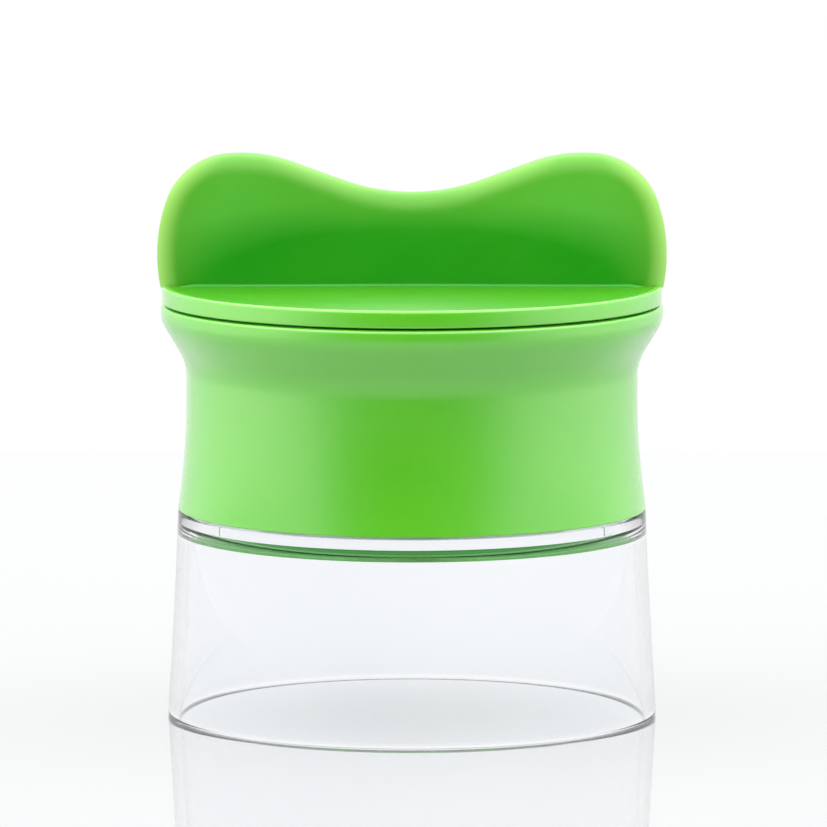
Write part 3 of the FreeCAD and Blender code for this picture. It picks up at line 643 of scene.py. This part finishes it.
# ---------------------------------------------------------------- materials
def moulded_plastic(name, pale, deep, roughness):
    """Injection-moulded plastic: a slow drift between two tones, and a fine satin grain."""
    material, tree, shader = new_material(name)
    tree.links.new(drift(tree, object_noise(tree, 22, 2), deep, pale), shader.inputs["Base Color"])
    rub = object_noise(tree, 60, 1)
    tree.links.new(span(tree, rub, roughness - 0.03, roughness + 0.03), shader.inputs["Roughness"])
    settle(shader, IOR=1.6, Specular_IOR_Level=0.8, Coat_Weight=0.7, Coat_Roughness=roughness)
    settle(shader, Subsurface_Weight=0.4, Subsurface_Radius=(0.5, 1.0, 0.2), Subsurface_Scale=0.004)
    bump(tree, shader, object_noise(tree, 420, 2), 0.04, 0.00004)
    return material


def paint_lining_glow(material):
    """Painted light: a faint green emission on the body's lining and tracks, for light through the wall."""
    tree = material.node_tree
    shader = tree.nodes["Principled BSDF"]
    around = reach(tree, (1, 1, 0))
    lining = below(tree, around, WAIST_R - 0.1, WAIST_R - 0.05)
    groove = below(tree, around, TRACK_R + 0.05, TRACK_R + 0.1)
    in_socket = below(tree, reach(tree, (0, 0, 1)), SOCKET_TOP_Z, SOCKET_TOP_Z + 0.2)
    glow = joined(tree, "MAXIMUM", lining, joined(tree, "MULTIPLY", groove, in_socket))
    tree.links.new(glow, shader.inputs["Emission Strength"])
    # colour of the painted glow: a green emission, though the body is no lamp
    settle(shader, Emission_Color=(0.075, 0.215, 0.075, 1))


def rubber_tone_and_painted_light(tree):
    """Deep on the broad faces, with a paler painted sheen on the lobes and a paler painted highlight where
    the fin rounds over.
    """
    slow = object_noise(tree, 26, 2)
    faces = drift(tree, slow, "#129600", "#1A9E02")
    # rim and flank tones: a painted highlight for the rounded edges, paler on flanks that face sideways
    rim_highlight_paint = drift(tree, slow, "#4AA20C", "#50AA10")
    tops = drift(tree, slow, "#389204", "#3E9808")
    flank_highlight_paint = drift(tree, slow, "#7EC03E", "#86C848")
    # lobes: a painted sheen, paler towards the tops and the outer ends of the lobes
    lobes = drift(tree, slow, "#50B42E", "#58BC36")
    painted_sheen_reach = reach(tree, (1 / (PAINTED_SHEEN_WIDE * MM), 0, 1 / (PAINTED_SHEEN_HIGH * MM)), (0, 0, CAP_TOP_Z * MM))
    broad = blended(tree, faces, lobes, span(tree, painted_sheen_reach, 0, 1, 0.8, 1.25))
    # painted edge highlight: the rim tone, turning to the flank tone where the surface faces sideways
    edges = blended(tree, rim_highlight_paint, flank_highlight_paint, greys(tree, facing(tree, "X"), [(0.12, 0), (0.75, 1)]))
    flatness = greys(tree, facing(tree, "Y"), [(0.94, 0), (0.99, 0.5), (1, 1)])
    fillet_z = CAP_TOP_Z + FIN_FOOT_ROUND
    low = below(tree, reach(tree, (0, 0, 1)), fillet_z, fillet_z + FIN_FOOT_ROUND)
    inside = below(tree, reach(tree, (1, 0, 0)), FOOT_X - FIN_FOOT_FADE, FOOT_X)
    # faces square to Y keep their tone; all other surfaces get the painted edge highlight
    sides = blended(tree, edges, broad, flatness)
    # the foot fillet is kept at the deep face tone, with no painted edge highlight
    sides = blended(tree, sides, faces, joined(tree, "MULTIPLY", low, inside))
    level = joined(tree, "MULTIPLY", span(tree, facing(tree, "Z"), 0, 1, 0.97, 1), low)
    return blended(tree, sides, tops, level)


def soft_rubber():
    """The grip's soft skin: matt and a little waxy."""
    material, tree, shader = new_material("grip_rubber")
    tree.links.new(rubber_tone_and_painted_light(tree), shader.inputs["Base Color"])
    tree.links.new(span(tree, object_noise(tree, 240, 4), 0.34, 0.42), shader.inputs["Roughness"])
    settle(shader, Specular_IOR_Level=0.5, Coat_Weight=0.15, Coat_Roughness=0.25)
    settle(shader, Subsurface_Weight=0.15, Subsurface_Radius=(0.5, 1.0, 0.2), Subsurface_Scale=0.002)
    bump(tree, shader, object_noise(tree, 500, 2), 0.08, 0.00004)
    return material


def clear_plastic():
    """Clear copolymer with the faintest ripple from moulding. Light shines straight through it."""
    material, tree, shader = new_material("clear_copolymer")
    tint = drift(tree, object_noise(tree, 14, 2), "#F9FAFC", "#FCFDFE", (0.3, 0.7))
    tree.links.new(tint, shader.inputs["Base Color"])
    tree.links.new(span(tree, object_noise(tree, 90, 3), 0, 0.015), shader.inputs["Roughness"])
    settle(shader, IOR=1.49, Transmission_Weight=1, Specular_Tint=(0.13, 0.135, 0.14, 1))
    bump(tree, shader, object_noise(tree, 36, 2), 0.05, 0.0001)
    path = add_node(tree, "LightPath")
    through = add_node(tree, "BsdfTransparent", Color=(0.985, 0.99, 0.992, 1))
    mix = add_node(tree, "MixShader")
    tree.links.new(path.outputs["Is Shadow Ray"], mix.inputs["Fac"])
    tree.links.new(shader.outputs["BSDF"], mix.inputs[1])
    tree.links.new(through.outputs["BSDF"], mix.inputs[2])
    tree.links.new(mix.outputs["Shader"], tree.nodes["Material Output"].inputs["Surface"])
    return material


def steel(name, stretch, roughness):
    """Ground stainless steel. Its grinding lines run along the axis that stretch makes small."""
    material, tree, shader = new_material(name)
    lines = object_noise(tree, 900, 5, stretch)
    tree.links.new(drift(tree, lines, "#B9BDC0", "#D6D9DB", (0.3, 0.7)), shader.inputs["Base Color"])
    tree.links.new(span(tree, lines, roughness - 0.06, roughness + 0.08), shader.inputs["Roughness"])
    settle(shader, Metallic=1)
    bump(tree, shader, lines, 0.15, 0.00003)
    return material


def table_top():
    """Pale glossy board that mirrors the object faintly, with a trace of haze."""
    material, tree, shader = new_material("table_gloss")
    haze = object_noise(tree, 3, 3)
    tree.links.new(drift(tree, haze, "#989EA5", "#9CA2A9", (0.3, 0.7)), shader.inputs["Base Color"])
    tree.links.new(span(tree, haze, 0.04, 0.08), shader.inputs["Roughness"])
    settle(shader, IOR=1.45, Coat_Weight=1, Coat_Roughness=0.03)
    return material


def dress(obj, material):
    """Gives an object one material in every slot."""
    obj.data.materials.clear()
    obj.data.materials.append(material)


def dress_all(pieces):
    body_green = moulded_plastic("body_green", "#5EC81A", "#58C214", 0.23)
    paint_lining_glow(body_green)
    carrier_green = moulded_plastic("carrier_green", "#5EC81A", "#58C214", 0.23)
    cap_green = moulded_plastic("cap_green", "#62CE1A", "#5AC612", 0.22)
    across = steel("ground_steel", (0.05, 1, 1), 0.28)
    upright = steel("turned_steel", (1, 1, 0.05), 0.22)
    dress(pieces["skirt"], clear_plastic())
    dress(pieces["body"], body_green)
    dress(pieces["cap"], cap_green)
    dress(pieces["grip"], soft_rubber())
    for node in ("guide_funnel", "blade_disc"):
        dress(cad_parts[node], carrier_green)
    dress(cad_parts["prong_stem"], cap_green)
    for node in ("slicing_blade", "julienne_comb"):
        dress(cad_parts[node], across)
    for node in ("coring_tube", "prongs", "centre_spike", "blade_screws", "carrier_screws", "holder_screws"):
        dress(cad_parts[node], upright)


# ---------------------------------------------------------------- stage
def make_table():
    bm = bmesh.new()
    bmesh.ops.create_grid(bm, x_segments=8, y_segments=8, size=TABLE_HALF_Y)
    mesh = bpy.data.meshes.new("table")
    bm.to_mesh(mesh)
    bm.free()
    table = bpy.data.objects.new("table", mesh)
    bpy.context.scene.collection.objects.link(table)
    table.location.z = -TABLE_GAP
    table.scale.x = TABLE_HALF_X / TABLE_HALF_Y
    dress(table, table_top())


def lamp(level):
    """Colour of a panel: white where it is dim, a little warm where it is bright."""
    warmth = 1 + (WARMTH - 1) * min(1, max(0, level - WARM_FROM))
    return [level * warmth, level, level / warmth, 1]


def panel_light(tree):
    """Panels all round, their brightness by azimuth and height, and light from overhead: a colour socket."""
    place = add_node(tree, "TexCoord")
    parts = add_node(tree, "SeparateXYZ")
    back = add_node(tree, "Math", operation="MULTIPLY")
    back.inputs[1].default_value = -1
    tree.links.new(place.outputs["Generated"], parts.inputs["Vector"])
    tree.links.new(parts.outputs["Y"], back.inputs[0])
    azimuth = joined(tree, "ARCTAN2", parts.outputs["X"], back.outputs["Value"])
    turn = span(tree, azimuth, 0, 1, -math.pi, math.pi)
    height = span(tree, parts.outputs["Z"], 0, 1, -1, 1)
    sides = ramp(tree, turn, [((degrees + 180) / 360, lamp(level)) for degrees, level in PANELS])
    top = ramp(tree, height, [((z + 1) / 2, lamp(level)) for z, level in OVERHEAD])
    fade = greys(tree, height, [((z + 1) / 2, level) for z, level in PANEL_FADE])
    limit = greys(tree, height, [((z + 1) / 2, level) for z, level in GLARE_LIMIT])
    walls = blended(tree, blended(tree, sides, limit, kind="DARKEN"), fade, kind="MULTIPLY")
    return blended(tree, walls, top, kind="ADD")


def world_light():
    """White to the camera, also through clear plastic, and lit by the panels for everything else."""
    world = bpy.data.worlds.new("studio")
    bpy.context.scene.world = world
    world.use_nodes = True
    tree = world.node_tree
    lit = tree.nodes["Background"]
    tree.links.new(panel_light(tree), lit.inputs["Color"])
    white = add_node(tree, "Background", Color=(1, 1, 1, 1), Strength=1)
    path = add_node(tree, "LightPath")
    seen = joined(tree, "MAXIMUM", path.outputs["Is Camera Ray"], path.outputs["Is Transmission Ray"])
    mix = add_node(tree, "MixShader")
    tree.links.new(seen, mix.inputs["Fac"])
    tree.links.new(lit.outputs["Background"], mix.inputs[1])
    tree.links.new(white.outputs["Background"], mix.inputs[2])
    tree.links.new(mix.outputs["Shader"], tree.nodes["World Output"].inputs["Surface"])


def make_camera():
    data = bpy.data.cameras.new("camera")
    data.sensor_width = 36
    data.lens = LENS_MM
    data.clip_start = 0.01
    camera = bpy.data.objects.new("camera", data)
    camera.location = (CAMERA_ACROSS, -CAMERA_BACK, CAMERA_UP)
    camera.rotation_euler = (math.radians(90 - CAMERA_PITCH_DEG), 0, 0)
    bpy.context.scene.collection.objects.link(camera)
    bpy.context.scene.camera = camera


def main():
    make_camera()
    pieces = {"skirt": make_skirt(), "body": make_body(), "cap": make_cap(), "grip": make_grip()}
    dress_all(pieces)
    make_table()
    world_light()
    bpy.context.scene.view_settings.view_transform = "Standard"


main()
